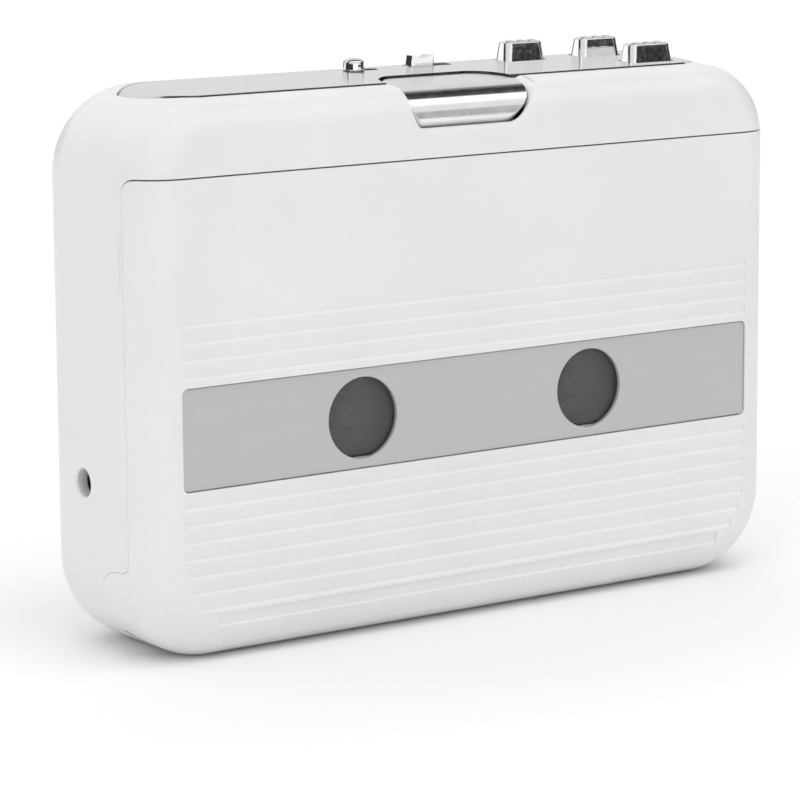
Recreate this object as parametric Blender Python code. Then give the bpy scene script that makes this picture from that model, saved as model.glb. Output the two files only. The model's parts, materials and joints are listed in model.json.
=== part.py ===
"""A portable cassette player: cabinet, hinged cassette door, top controls and tape mechanism.

Lengths are millimetres until finish(), which writes metres. X runs across the front, y is the
depth behind the front face and z is the height above the bottom. finish() centres the depth.
"""

import math

import bmesh
import bpy
from mathutils import Matrix

for old in list(bpy.data.objects):
    bpy.data.objects.remove(old, do_unlink=True)

MM = 0.001
HALF_WIDTH = 59.5
DEPTH = 31.5
FRONT_ROUND = 7.5
REAR_ROUND = 10.0
TOP_CORNER = 13.0
BOTTOM_CORNER = 13.5
CORNER_STEPS = 6

# The top rises gently from its front rounding to its rear one.
BROW_DEPTH, BROW_FOOT, BROW_HEIGHT = 5.6, 77.2, 4.8
TOP_REAR = 83.2
REAR_START = DEPTH - REAR_ROUND

SEAM = 71.15
GAP = 0.35
CHEEK_DEPTH = 5.2
HINGE_Y, HINGE_Z = 7.5, 7.5
BARREL = 6.4
BACK_SPLIT = 28.2

HUB_X, HUB_Z = 21.25, 33.55
STRIP_HALF, STRIP_LOW, STRIP_HIGH = 52.6, 26.05, 41.0
REEL_HOLE = 6.15

CELL_Y, CELL_Z, CELL_RADIUS = 21.9, 11.3, 7.25
BAY_ROOF = CELL_Z + CELL_RADIUS + 1.45

MATERIALS = {
    "shell": ((0.86, 0.86, 0.85), 0.0, 0.32),
    "inner": ((0.80, 0.80, 0.79), 0.0, 0.45),
    "silver": ((0.62, 0.63, 0.64), 1.0, 0.35),
    "smoke": ((0.12, 0.12, 0.13), 0.0, 0.08),
    "chrome": ((0.86, 0.87, 0.88), 1.0, 0.05),
    "steel": ((0.56, 0.57, 0.58), 1.0, 0.35),
    "brass": ((0.72, 0.55, 0.28), 1.0, 0.30),
    "dark": ((0.05, 0.05, 0.055), 0.0, 0.40),
    "black": ((0.02, 0.02, 0.022), 0.0, 0.60),
    "board": ((0.05, 0.22, 0.10), 0.0, 0.40),
    "white_gear": ((0.85, 0.84, 0.80), 0.0, 0.40),
}


def solid(points, faces):
    mesh = bpy.data.meshes.new("tmp")
    mesh.from_pydata([tuple(p) for p in points], [], faces)
    work = bmesh.new()
    work.from_mesh(mesh)
    bmesh.ops.remove_doubles(work, verts=work.verts, dist=1e-5)
    bmesh.ops.recalc_face_normals(work, faces=work.faces)
    work.to_mesh(mesh)
    work.free()
    obj = bpy.data.objects.new("tmp", mesh)
    bpy.context.scene.collection.objects.link(obj)
    return obj


def loft(rings):
    """A closed solid through rings with the same number of points."""
    count = len(rings[0])
    points = [p for ring in rings for p in ring]
    faces = [tuple(range(count)), tuple(range(len(points) - count, len(points)))]
    for k in range(len(rings) - 1):
        for i in range(count):
            j = (i + 1) % count
            faces.append((k * count + i, k * count + j, (k + 1) * count + j, (k + 1) * count + i))
    return solid(points, faces)


def place(axis, a, b, along):
    """The point with the two plane coordinates a, b and its position along the axis."""
    return {"x": (along, a, b), "y": (a, along, b), "z": (a, b, along)}[axis]


def prism(outline, axis, low, high):
    return loft([[place(axis, a, b, s) for a, b in outline] for s in (low, high)])


def box(x0, x1, y0, y1, z0, z1):
    return prism([(x0, y0), (x1, y0), (x1, y1), (x0, y1)], "z", z0, z1)


def circle(a, b, radius, count=24, start=0.0):
    turns = [start + 2 * math.pi * k / count for k in range(count)]
    return [(a + radius * math.cos(t), b + radius * math.sin(t)) for t in turns]


def rod(axis, a, b, radius, low, high, count=24):
    return prism(circle(a, b, radius, count), axis, low, high)


def turned(axis, a, b, profile, count=24):
    """A turned piece: profile lists (radius, position along the axis)."""
    return loft([[place(axis, p, q, s) for p, q in circle(a, b, r, count)] for r, s in profile])


def rounded(x0, x1, z0, z1, low_radius, high_radius=None, low_left=None, steps=CORNER_STEPS):
    high_radius = low_radius if high_radius is None else high_radius
    low_left = low_radius if low_left is None else low_left
    corners = (
        (x1 - high_radius, z1 - high_radius, 0, high_radius),
        (x0 + high_radius, z1 - high_radius, 90, high_radius),
        (x0 + low_left, z0 + low_left, 180, low_left),
        (x1 - low_radius, z0 + low_radius, 270, low_radius),
    )
    outline = []
    for cx, cz, start, radius in corners:
        for k in range(steps + 1):
            turn = math.radians(start + 90 * k / steps)
            outline.append((cx + radius * math.cos(turn), cz + radius * math.sin(turn)))
    return outline


def boolean(base, others, operation):
    for other in others:
        step = base.modifiers.new("step", "BOOLEAN")
        step.operation, step.solver, step.object = operation, "EXACT", other
        bpy.context.view_layer.update()
        graph = bpy.context.evaluated_depsgraph_get()
        result = bpy.data.meshes.new_from_object(base.evaluated_get(graph))
        base.modifiers.clear()
        base.data = result
        bpy.data.objects.remove(other, do_unlink=True)
    return base


def cut(base, *others):
    return boolean(base, others, "DIFFERENCE")


def join(base, *others):
    return boolean(base, others, "UNION")


def keep(base, *others):
    return boolean(base, others, "INTERSECT")


def moved(obj, x=0.0, y=0.0, z=0.0):
    obj.data.transform(Matrix.Translation((x, y, z)))
    return obj


def material(slot):
    found = bpy.data.materials.get(slot)
    if found:
        return found
    colour, metallic, roughness = MATERIALS[slot]
    made = bpy.data.materials.new(slot)
    made.use_nodes = True
    shader = made.node_tree.nodes["Principled BSDF"]
    shader.inputs["Base Color"].default_value = (*colour, 1.0)
    shader.inputs["Metallic"].default_value = metallic
    shader.inputs["Roughness"].default_value = roughness
    return made


def finish(name, obj, slot, pivot=(0.0, DEPTH / 2, 0.0)):
    """Names the piece, turns it into metres and puts its origin on the pivot."""
    x, y, z = pivot
    obj.data.transform(Matrix.Translation((-x, -y, -z)))
    obj.data.transform(Matrix.Scale(MM, 4))
    obj.location = (x * MM, (y - DEPTH / 2) * MM, z * MM)
    obj.name = obj.data.name = name
    obj.data.materials.clear()
    obj.data.materials.append(material(slot))
    return obj


def side_inset(y, wall):
    """How far the side and bottom surfaces lie inside the widest section, for a wall offset."""
    if y < FRONT_ROUND:
        reach = min(FRONT_ROUND - y, FRONT_ROUND - wall)
        return FRONT_ROUND - math.sqrt((FRONT_ROUND - wall) ** 2 - reach**2)
    if y > REAR_START:
        reach = min(y - REAR_START, REAR_ROUND - wall)
        return REAR_ROUND - math.sqrt((REAR_ROUND - wall) ** 2 - reach**2)
    return wall


def top_height(y, wall, drop):
    """The height of the top at this depth; drop is the wall offset of the roof."""
    if y < BROW_DEPTH:
        reach = min((BROW_DEPTH - y) / (BROW_DEPTH - wall), 1.0)
        return BROW_FOOT + (BROW_HEIGHT - drop) * math.sqrt(1 - reach**2)
    brow = BROW_FOOT + BROW_HEIGHT
    if y < REAR_START:
        return brow + (TOP_REAR - brow) * (y - BROW_DEPTH) / (REAR_START - BROW_DEPTH) - drop
    reach = min(y - REAR_START, REAR_ROUND - wall)
    centre = TOP_REAR - REAR_ROUND
    return centre + math.sqrt((REAR_ROUND - wall) ** 2 - reach**2) - (drop - wall)


def section(y, wall, drop):
    inset = side_inset(y, wall)
    half = HALF_WIDTH - inset
    low = max(BOTTOM_CORNER - inset, 0.8)
    high = max(TOP_CORNER - inset - (drop - wall), 0.8)
    return rounded(-half, half, inset, top_height(y, wall, drop), low, high)


def body(wall=0.0, drop=None, steps=5):
    """The outer shape of the player, or the same shape offset inwards."""
    drop = wall if drop is None else drop
    turns = [math.radians(90 * k / steps) for k in range(steps + 1)]
    depths = [FRONT_ROUND - (FRONT_ROUND - wall) * math.cos(t) for t in turns]
    depths += [REAR_START + (REAR_ROUND - wall) * math.sin(t) for t in turns]
    depths.append(BROW_DEPTH)
    depths = sorted(set(round(d, 4) for d in depths))
    return loft([[place("y", a, b, y) for a, b in section(y, wall, drop)] for y in depths])


def slanted(outline, low, high):
    """A prism whose axis leans 45 degrees between up and forward, for the OPEN button."""
    lean = math.sqrt(0.5)
    rings = []
    for s in (low, high):
        rings.append([(x, lean * (v - s), lean * (v + s)) for x, v in outline])
    return loft(rings)


def arc_band(a, b, inner, outer, start, stop, steps=14):
    turns = [math.radians(start + (stop - start) * k / steps) for k in range(steps + 1)]
    outline = [(a + outer * math.cos(t), b + outer * math.sin(t)) for t in turns]
    outline += [(a + inner * math.cos(t), b + inner * math.sin(t)) for t in reversed(turns)]
    return outline


# ---------------------------------------------------------------- case
BUTTON = (-12.2, 10.6, 53.9, 67.1)
BUTTON_ROUND, BUTTON_LOW_LEFT = 4.8, 2.4
PLATE = (-51.7, 51.1, 6.2, 22.6)
PLATE_TIP = 18.1
PLATE_FRONT_END, PLATE_REAR_END = 7.0, 18.0
PLATE_THICK = 1.2

KEYS = {
    "key_play": (18.9, 26.7, 18.2, 21.8),
    "key_forward": (33.3, 41.2, 17.6, 21.2),
    "key_stop": (36.6, 45.2, 9.2, 12.8),
}
SWITCH = (1.3, 5.8, 19.3, 21.4)
POST_X, POST_Y, POST_RADIUS = -9.2, 19.6, 1.65
SLIDE_TRAVEL = 3.0
JACK_Y, JACK_Z = 17.3, 25.6
PHONE_Y, PHONE_Z = 19.0, 57.0
WHEEL_X, WHEEL_Z, WHEEL_RADIUS = 51.2, 40.0, 8.0
LUG = (52.95, 53.85)
LATCH_PIVOT = (-15.9, 9.0, 71.3)


def key_top(y):
    return top_height(y, 0.0, 0.0)


def button_outline(inset):
    x0, x1, low, high = BUTTON
    radius = BUTTON_ROUND - inset
    return rounded(
        x0 + inset, x1 - inset, low + inset, high - inset, radius, radius, BUTTON_LOW_LEFT - inset
    )


def plate_outline(inset, steps=8):
    """Straight long edges and pointed ends: a short quarter ellipse in front, a long flat one behind."""
    x0, x1, y0, y1 = PLATE
    front, rear = PLATE_TIP - y0 - inset, y1 - PLATE_TIP - inset
    outline = []
    for end, reach, across, start in (
        (x1, -PLATE_FRONT_END, front, -90), (x1, -PLATE_REAR_END, rear, 0),
        (x0, PLATE_REAR_END, rear, 90), (x0, PLATE_FRONT_END, front, 180),
    ):
        for k in range(steps + 1):
            turn = math.radians(start + 90 * k / steps)
            along = (abs(reach) - inset) * math.cos(turn)
            outline.append((end + reach + along, PLATE_TIP + across * math.sin(turn)))
    return outline


def control_slots(gap):
    """Cutters for every control that comes up through the top."""
    slots = [
        box(x0 - gap, x1 + gap, y0 - gap, y1 + gap, 70, 90)
        for x0, x1, y0, y1 in KEYS.values()
    ]
    x0, x1, y0, y1 = SWITCH
    slots.append(box(x0 - gap, x1 + SLIDE_TRAVEL + gap, y0 - gap, y1 + gap, 70, 90))
    slots.append(
        prism(
            rounded(
                POST_X - 1.0 - gap, POST_X + 1.0 + SLIDE_TRAVEL + gap,
                POST_Y - 0.6 - gap, POST_Y + 0.6 + gap, 0.6, steps=3,
            ),
            "z", 70, 90,
        )
    )
    return slots


def lowered_body(drop):
    return moved(body(0.0), z=-drop)


def door_side(gap):
    """The side outline of the door, grown by gap: cheek, corner and hinge barrel."""
    edge = CHEEK_DEPTH + gap
    reach = BARREL + gap
    outline = [(-2.0, SEAM + gap), (edge - 1.5, SEAM + gap), (edge, SEAM - 1.5)]
    foot = HINGE_Z + math.sqrt(reach**2 - (HINGE_Y - edge) ** 2)
    outline.append((edge, foot + 2.0))
    outline.append((edge + 0.35, foot + 0.9))
    start = math.degrees(math.atan2(foot - HINGE_Z, edge - HINGE_Y)) - 12
    for k in range(13):
        turn = math.radians(start - (start + 88) * k / 12)
        outline.append((HINGE_Y + reach * math.cos(turn), HINGE_Z + reach * math.sin(turn)))
    outline.append((HINGE_Y + 0.6 + gap, -2.0))
    outline.append((-2.0, -2.0))
    return outline


def make_cabinet():
    cabinet = body()
    cabinet = cut(cabinet, body(2.0, 3.4))
    cabinet = cut(cabinet, box(-70, 70, BACK_SPLIT, 40, -5, 90))
    cabinet = cut(cabinet, prism(door_side(GAP), "x", -70, 70))
    sweep = keep(rod("x", HINGE_Y, HINGE_Z, 7.85, -70, 70, 40), box(-71, 71, 0, 20, -5, 3.6))
    cabinet = cut(cabinet, sweep)
    recess = cut(prism(plate_outline(-0.15), "z", 70, 90), lowered_body(PLATE_THICK + 0.3))
    cabinet = cut(cabinet, recess)
    cabinet = cut(cabinet, slanted(button_outline(-0.15), 44, 65))
    cabinet = cut(cabinet, *control_slots(0.4))
    cabinet = cut(
        cabinet,
        rod("x", JACK_Y, JACK_Z, 2.15, -70, -50, 28),
        rod("x", PHONE_Y, PHONE_Z, 2.9, 50, 70, 24),
        box(50, 70, 17.2, 20.4, WHEEL_Z - 7.0, WHEEL_Z + 7.0),
    )
    # The ear that carries the hook of the OPEN button.
    y, z = LATCH_PIVOT[1:]
    ear = cut(box(-20.2, -18.2, y - 1.4, y + 1.4, z - 1.3, 79.6), rod("x", y, z, 0.9, -22, -17, 14))
    cabinet = join(cabinet, ear)
    for side in (-1, 1):
        x0, x1 = sorted((side * 43.0, side * 58.4))
        cabinet = join(
            cabinet,
            box(x0, x1, 16.6, 20.0, 67.0, 73.0),
            box(x0, x1, 16.6, 20.0, 29.2, 31.6),
        )
    for x, z in BOSSES:
        rib = sorted((x, x + math.copysign(4.4, x)))
        cabinet = join(
            cabinet,
            box(rib[0], rib[1], 22.0, 28.0, z - 0.9, z + 0.9),
            rod("y", x, z, 3.0, 21.0, BACK_SPLIT - 0.2, 20),
        )
    cabinet = cut(cabinet, *[rod("y", x, z, 1.2, 22.5, 30, 14) for x, z in BOSSES])
    cabinet = cut(cabinet, *[rod("y", x, z, 1.05, 15, 19.2, 12) for x, z in CHASSIS_SCREWS])
    return cabinet


BOSSES = ((-50.5, 62.0), (50.5, 72.0), (-50.5, 24.0), (50.5, 24.0))
CHASSIS_SCREWS = ((-45.5, 70.5), (45.5, 70.5), (-45.5, 30.4), (45.5, 30.4))

finish("cabinet", make_cabinet(), "shell")


def make_tray():
    """The trough for the two cells, closed at both ends, with the ears that hold the hinge pins."""
    inner, outer = CELL_RADIUS + 0.55, CELL_RADIUS + 1.45
    trough = prism(arc_band(CELL_Y, CELL_Z, inner, outer, 90, 270), "x", -LUG[1], LUG[1])
    roof = box(-LUG[1], LUG[1], CELL_Y - 0.5, BACK_SPLIT, CELL_Z + inner, BAY_ROOF)
    closed_end = arc_band(CELL_Y, CELL_Z, 0.0, outer, 90, 225)[:15]
    closed_end += [(16.0, 3.7), (25.0, 5.3), (BACK_SPLIT, 9.6), (BACK_SPLIT, BAY_ROOF)]
    ends = [prism(closed_end, "x", low, low + LUG[1] - LUG[0]) for low in (-LUG[1], LUG[0])]
    cells = rod("x", CELL_Y, CELL_Z, CELL_RADIUS + 0.3, -LUG[0], LUG[0], 40)
    tray = keep(cut(join(trough, roof, *ends), cells), body(2.35, 3.75))
    tray = cut(tray, rod("x", HINGE_Y, HINGE_Z, 6.75, -70, 70, 40))
    lug = [(14.2, 9.6), (14.6, 12.4), (7.5, 9.6), (6.05, 8.95), (5.45, 7.5), (6.05, 6.05)]
    lug += [(7.5, 5.45), (9.0, 6.2)]
    for low in (-LUG[1], LUG[0]):
        high = low + LUG[1] - LUG[0]
        hole = rod("x", HINGE_Y, HINGE_Z, 1.25, low - 1, high + 1, 16)
        tray = join(tray, cut(prism(lug, "x", low, high), hole))
    return tray


finish("battery_tray", make_tray(), "inner")


def rear_skin():
    """The thin rear wall behind the split line."""
    behind = box(-70, 70, BACK_SPLIT + 0.3, 40, -5, 90)
    return cut(keep(body(), behind), body(1.15))


def bay_door(grow):
    """The region of the rear wall that the battery cover fills, grown by this gap."""
    return box(-52.5 - grow, 52.5 + grow, 20, 40, -5, BAY_ROOF + 0.65 + grow)


back = cut(rear_skin(), bay_door(0.35))
for x, z in BOSSES:
    back = join(back, rod("y", x, z, 3.0, BACK_SPLIT + 0.1, DEPTH - 0.6, 20))
    back = cut(back, rod("y", x, z, 1.35, 20, 40, 14), rod("y", x, z, 2.35, 29.3, 40, 18))
finish("back_cover", back, "shell")

cover = keep(rear_skin(), bay_door(0.0))
for x in (-30.0, 0.0, 30.0):
    cover = join(cover, box(x - 3, x + 3, BACK_SPLIT + 0.4, DEPTH - 0.8, BAY_ROOF - 0.4, BAY_ROOF + 0.6))
for k in range(5):
    cover = cut(cover, box(-8, 8, DEPTH - 0.4, DEPTH + 1, 12.0 + 1.3 * k, 12.5 + 1.3 * k))
finish("battery_cover", cover, "shell")

# ---------------------------------------------------------------- door
RIDGES = [42.38 + 2.56 * k for k in range(4)] + [23.4 - 2.55 * k for k in range(8)]
RIDGE_CORNER, RIDGE_FOOT = 12.0, 3.5
DOOR_PIVOT = (0, HINGE_Y, HINGE_Z)


def ridge_cutter(z):
    """One shallow step: a ledge that faces up and a long slope above it. Low ones are shorter."""
    reach = max(RIDGE_CORNER - (z - RIDGE_FOOT), 0.0)
    half = STRIP_HALF - RIDGE_CORNER + math.sqrt(RIDGE_CORNER**2 - reach**2)
    skin = front_skin(min(z, FRONT_ROUND))
    step = [(skin, z - 0.25), (skin + 0.28, z + 0.2), (skin - 0.02, z + 1.9), (-1.0, z + 1.9), (-1.0, z - 0.25)]
    return prism(step, "x", -half, half)


def front_skin(z):
    """The depth of the front surface at a height in its lower rounding."""
    return FRONT_ROUND - math.sqrt(FRONT_ROUND**2 - (FRONT_ROUND - z) ** 2)


def make_door():
    door = cut(keep(body(), prism(door_side(0.0), "x", -70, 70)), body(2.0, 3.4))
    for side in (-1, 1):
        inner, outer = sorted((side * 54.9, side * 58.2))
        door = join(door, keep(rod("x", HINGE_Y, HINGE_Z, 2.9, inner, outer), body(0.6)))
        near, far = sorted((side * 53.5, side * 56.8))
        door = cut(door, rod("x", HINGE_Y, HINGE_Z, 1.3, near, far, 16))
    # The flange along the top edge and the tab that the hook holds.
    door = join(door, box(-52.5, 52.5, 1.4, 3.4, 69.3, 70.8))
    tab = prism(
        [(1.4, 67.8), (5.9, 67.8), (5.9, 70.8), (4.5, 70.8), (4.5, 68.9), (1.4, 68.9)], "x", -17.7, -14.1
    )
    door = join(door, tab)
    door = cut(door, *[ridge_cutter(z) for z in RIDGES])
    recess = rounded(
        -STRIP_HALF - 0.3, STRIP_HALF + 0.3, STRIP_LOW - 0.3, STRIP_HIGH + 0.3, 1.1, steps=3
    )
    window = rounded(-31, 31, 27.4, 40.0, 1.5, steps=3)
    return cut(door, prism(recess, "y", -1, 1.3), prism(window, "y", 0, 3))


finish("door_shell", make_door(), "shell", DOOR_PIVOT)

strip = prism(
    rounded(-STRIP_HALF, STRIP_HALF, STRIP_LOW, STRIP_HIGH, 0.8, steps=3), "y", 0.3, 1.0
)
strip = cut(strip, *[rod("y", x, HUB_Z, REEL_HOLE, -1, 3, 40) for x in (-HUB_X, HUB_X)])
finish("door_strip", strip, "silver", DOOR_PIVOT)

lens = prism(rounded(-33, 33, 26.0, 41.4, 1.0, steps=3), "y", 2.35, 3.3)
lens = join(lens, prism(rounded(-30.6, 30.6, 27.8, 39.6, 1.2, steps=3), "y", 1.35, 2.6))
finish("door_lens", lens, "smoke", DOOR_PIVOT)

rail = [(3.8, 6.9), (6.0, 5.4), (11.2, 5.0), (11.2, 9.0), (13.0, 14.0), (13.0, 60.0), (3.8, 60.0)]
foot = [(50.3, 3.6), (51.2, 3.9), (52.6, 4.6), (52.6, 12.0), (51.1, 12.0), (51.1, 4.6)]
carrier = box(-50.9, 50.9, 6.4, 11.0, 3.6, 4.4)
for side in (-1, 1):
    inner, outer = sorted((side * 51.1, side * 52.6))
    outline = [(side * a, b) for a, b in foot]
    carrier = join(carrier, prism(rail, "x", inner, outer), prism(outline, "y", 7.6, 11.0))
for side in (-1, 1):
    inner, outer = sorted((side * 47.0, side * 52.0))
    carrier = join(carrier, box(inner, outer, 12.2, 13.0, 20.0, 48.0))
finish("cassette_carrier", carrier, "inner", DOOR_PIVOT)

leaf = prism(
    [(2.4, 47.0), (2.4, 44.6), (2.75, 44.6), (2.75, 46.8), (4.0, 51.0), (2.9, 55.6), (2.6, 55.6),
     (3.65, 51.0)],
    "x", -4.0, 4.0,
)
finish("cassette_spring", leaf, "steel", DOOR_PIVOT)

for name, side in (("hinge_pin_left", -1), ("hinge_pin_right", 1)):
    low, high = sorted((side * 52.9, side * 56.4))
    finish(name, rod("x", HINGE_Y, HINGE_Z, 1.0, low, high, 16), "steel", (0, HINGE_Y, HINGE_Z))

# ---------------------------------------------------------------- OPEN button and its hook
button = keep(body(0.35), slanted(button_outline(0.25), 47, 65))
button = cut(button, body(2.5, 2.5))
button = join(button, box(-10.8, -8.6, 10.2, 11.6, 72.45, 81.2))
finish("open_button", button, "chrome", (0, 6.0, 80.0))

y, z = LATCH_PIVOT[1:]
hook = prism(
    [(3.0, 71.2), (6.4, 71.3), (7.5, 70.6), (8.3, 70.0), (9.8, 70.0), (10.6, 70.8), (12.6, 71.1),
     (12.6, 71.9), (10.6, 72.1), (9.8, 72.6), (8.2, 72.6), (7.0, 72.2), (3.0, 72.2)],
    "x", -17.6, -14.2,
)
hook = join(hook, box(-15.0, -8.9, 11.0, 12.6, 71.1, 71.85))
hook = cut(hook, rod("x", y, z, 0.95, -19, -12, 16))
finish("latch_hook", hook, "dark", LATCH_PIVOT)
finish("latch_pin", rod("x", y, z, 0.65, -20.0, -13.8, 12), "steel", LATCH_PIVOT)

# ---------------------------------------------------------------- top plate and controls
plate = keep(body(), prism(plate_outline(0.15), "z", 70, 90))
plate = cut(plate, lowered_body(PLATE_THICK))
plate = cut(plate, slanted(button_outline(-0.3), 47, 65), *control_slots(0.25))
finish("top_plate", plate, "chrome")

KEY_STEM = {"key_play": 76.3, "key_forward": 75.6, "key_stop": 75.6}
for name, (x0, x1, y0, y1) in KEYS.items():
    crown = key_top(y0)
    roof = top_height(y0, 2.0, 3.4)
    key = prism(rounded(x0, x1, y0, y1, 1.0, steps=3), "z", crown - 2.4, crown + 3.0)
    for k in (-1, 0, 1):
        middle = (x0 + x1) / 2 + 2.1 * k
        key = join(key, turned("z", middle, (y0 + y1) / 2, [(0.8, crown + 2.8), (0.45, crown + 3.25)], 10))
    key = join(key, box(x0 + 1.0, x1 - 1.0, y0 + 0.5, y1 - 0.5, KEY_STEM[name], crown - 2.0))
    key = join(key, box(x0 - 0.9, x1 + 0.9, y0 - 0.3, y1 + 0.3, roof - 1.4, roof - 0.35))
    finish(name, key, "chrome", ((x0 + x1) / 2, (y0 + y1) / 2, crown))

crown = key_top(POST_Y)
roof = top_height(17.5, 2.0, 3.4) - 0.35
post = turned(
    "z", POST_X, POST_Y,
    [(POST_RADIUS, crown + 0.2), (POST_RADIUS, crown + 1.4), (1.25, crown + 1.95)], 20,
)
post = join(post, box(POST_X - 1.0, POST_X + 1.0, POST_Y - 0.6, POST_Y + 0.6, roof - 1.0, crown + 0.5))
post = join(post, box(POST_X - 2.6, POST_X + 2.6, 17.9, 21.2, roof - 1.8, roof))
finish("slide_post", post, "chrome", (POST_X, POST_Y, crown))

x0, x1, y0, y1 = SWITCH
crown = key_top(y0)
switch = prism(rounded(x0, x1, y0, y1, 0.4, steps=2), "z", roof - 1.0, crown + 1.7)
switch = join(switch, box(x0 - 0.8, x1 + 0.8, 17.9, 22.0, roof - 1.8, roof))
finish("slide_switch", switch, "chrome", ((x0 + x1) / 2, (y0 + y1) / 2, crown))

finish("post_contacts", box(-12.6, -2.8, 17.6, 21.6, 73.4, roof - 2.2), "steel")
finish("switch_contacts", box(-0.4, 11.0, 17.6, 21.6, 73.4, roof - 2.2), "steel")

# ---------------------------------------------------------------- tape mechanism
CAPSTAN_X, CAPSTAN_Z = 27.5, 64.6
MOTOR_X, MOTOR_Z = -31.0, 57.0
GEAR_LOW, GEAR_HIGH = 17.0, 19.0
MODULE = 0.5
PINION, IDLER, REEL = 14, 42, 32
RIM_RADIUS, PULLEY_RADIUS = 10.8, 2.8


def gear(x, z, teeth, tooth_at, low=GEAR_LOW, high=GEAR_HIGH):
    """A spur gear about y with the middle of one tooth at this angle, in radians."""
    pitch = teeth * MODULE / 2
    step = 2 * math.pi / teeth
    outline = []
    for k in range(teeth):
        middle = tooth_at + k * step
        for part, radius in ((-0.30, -0.55), (-0.13, 0.36), (0.13, 0.36), (0.30, -0.55)):
            turn = middle + part * step
            reach = pitch + radius
            outline.append((x + reach * math.cos(turn), z + reach * math.sin(turn)))
    return prism(outline, "y", low, high)


def idler_centre():
    """Where the idler meshes with both the capstan pinion and the take-up reel."""
    near = (PINION + IDLER) * MODULE / 2
    far = (IDLER + REEL) * MODULE / 2
    dx, dz = HUB_X - CAPSTAN_X, HUB_Z - CAPSTAN_Z
    span = math.hypot(dx, dz)
    along = (near**2 - far**2 + span**2) / (2 * span)
    aside = math.sqrt(near**2 - along**2)
    return (
        CAPSTAN_X + (dx * along - dz * aside) / span,
        CAPSTAN_Z + (dz * along + dx * aside) / span,
    )


IDLER_X, IDLER_Z = idler_centre()
TO_IDLER = math.atan2(IDLER_Z - CAPSTAN_Z, IDLER_X - CAPSTAN_X)
TO_REEL = math.atan2(HUB_Z - IDLER_Z, HUB_X - IDLER_X)
IDLER_STEP = 2 * math.pi / IDLER
IDLER_TOOTH = TO_IDLER + math.pi + IDLER_STEP / 2
REEL_PHASE = ((TO_REEL - IDLER_TOOTH) / IDLER_STEP) % 1.0
REEL_TOOTH = TO_REEL + math.pi + (REEL_PHASE - 0.5) * 2 * math.pi / REEL

chassis = box(-47.5, 49.5, 15.2, 16.2, BAY_ROOF + 0.5, 73.5)
chassis = join(chassis, *[
    turned("y", x, 58.0, [(0.9, 8.6), (1.5, 9.6), (1.5, 15.6)], 14) for x in (-35.0, 35.0)
])
chassis = cut(
    chassis,
    box(12.3, 27.8, 10, 20, 69.6, 80),
    rod("y", -HUB_X, HUB_Z, 4.0, 10, 20), rod("y", HUB_X, HUB_Z, 4.0, 10, 20),
    rod("y", CAPSTAN_X, CAPSTAN_Z, 2.6, 10, 20),
    *[rod("y", x, z, 1.3, 10, 20, 12) for x, z in CHASSIS_SCREWS],
)
finish("chassis", chassis, "inner")


def make_reel(x, tooth_at):
    reel = turned(
        "y", x, HUB_Z,
        [(1.5, 4.0), (2.1, 4.5), (2.3, 6.2), (2.9, 7.4), (3.6, 12.0), (3.6, 17.6)],
    )
    for k in range(3):
        turn = math.radians(120 * k + (20 if x < 0 else -35))
        fin = box(-0.55, 0.55, 5.4, 12.4, 0.0, 4.1)
        fin.data.transform(Matrix.Rotation(turn, 4, "Y"))
        reel = join(reel, moved(fin, x=x, z=HUB_Z))
    return join(reel, gear(x, HUB_Z, REEL, tooth_at))


finish("reel_supply", make_reel(-HUB_X, 0.0), "dark", (-HUB_X, 17.0, HUB_Z))
finish("reel_takeup", make_reel(HUB_X, REEL_TOOTH), "dark", (HUB_X, 17.0, HUB_Z))

idler = cut(gear(IDLER_X, IDLER_Z, IDLER, IDLER_TOOTH), rod("y", IDLER_X, IDLER_Z, 1.5, 10, 25, 16))
for k in range(3):
    turn = 2 * math.pi * k / 3
    x, z = IDLER_X + 5.6 * math.cos(turn), IDLER_Z + 5.6 * math.sin(turn)
    idler = cut(idler, rod("y", x, z, 2.6, 10, 25, 12))
finish("idler_gear", idler, "white_gear", (IDLER_X, 18.0, IDLER_Z))
pin = turned("y", IDLER_X, IDLER_Z, [(1.2, 16.5), (1.2, 19.3), (2.2, 19.3), (2.2, 20.0)], 16)
finish("idler_pin", pin, "steel")

wheel = turned(
    "y", CAPSTAN_X, CAPSTAN_Z,
    [(2.7, 18.6), (2.7, 21.4), (6.0, 22.3), (13.0, 22.3), (13.0, 24.9), (RIM_RADIUS + 0.6, 25.1),
     (RIM_RADIUS, 25.6), (RIM_RADIUS, 27.0), (RIM_RADIUS + 0.4, 27.4), (4.0, 27.4)],
    40,
)
wheel = join(wheel, gear(CAPSTAN_X, CAPSTAN_Z, PINION, TO_IDLER))
wheel = cut(wheel, rod("y", CAPSTAN_X, CAPSTAN_Z, 1.3, 10, 30, 16))
finish("flywheel", wheel, "brass", (CAPSTAN_X, 24.0, CAPSTAN_Z))
shaft = rod("y", CAPSTAN_X, CAPSTAN_Z, 1.0, 5.0, 28.6, 16)
finish("capstan_shaft", shaft, "steel", (CAPSTAN_X, 15.0, CAPSTAN_Z))
bush = turned("y", CAPSTAN_X, CAPSTAN_Z, [(2.3, 14.0), (2.3, 16.6)], 20)
bush = cut(bush, rod("y", CAPSTAN_X, CAPSTAN_Z, 1.3, 10, 20, 16))
finish("capstan_bushing", bush, "brass")

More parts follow.
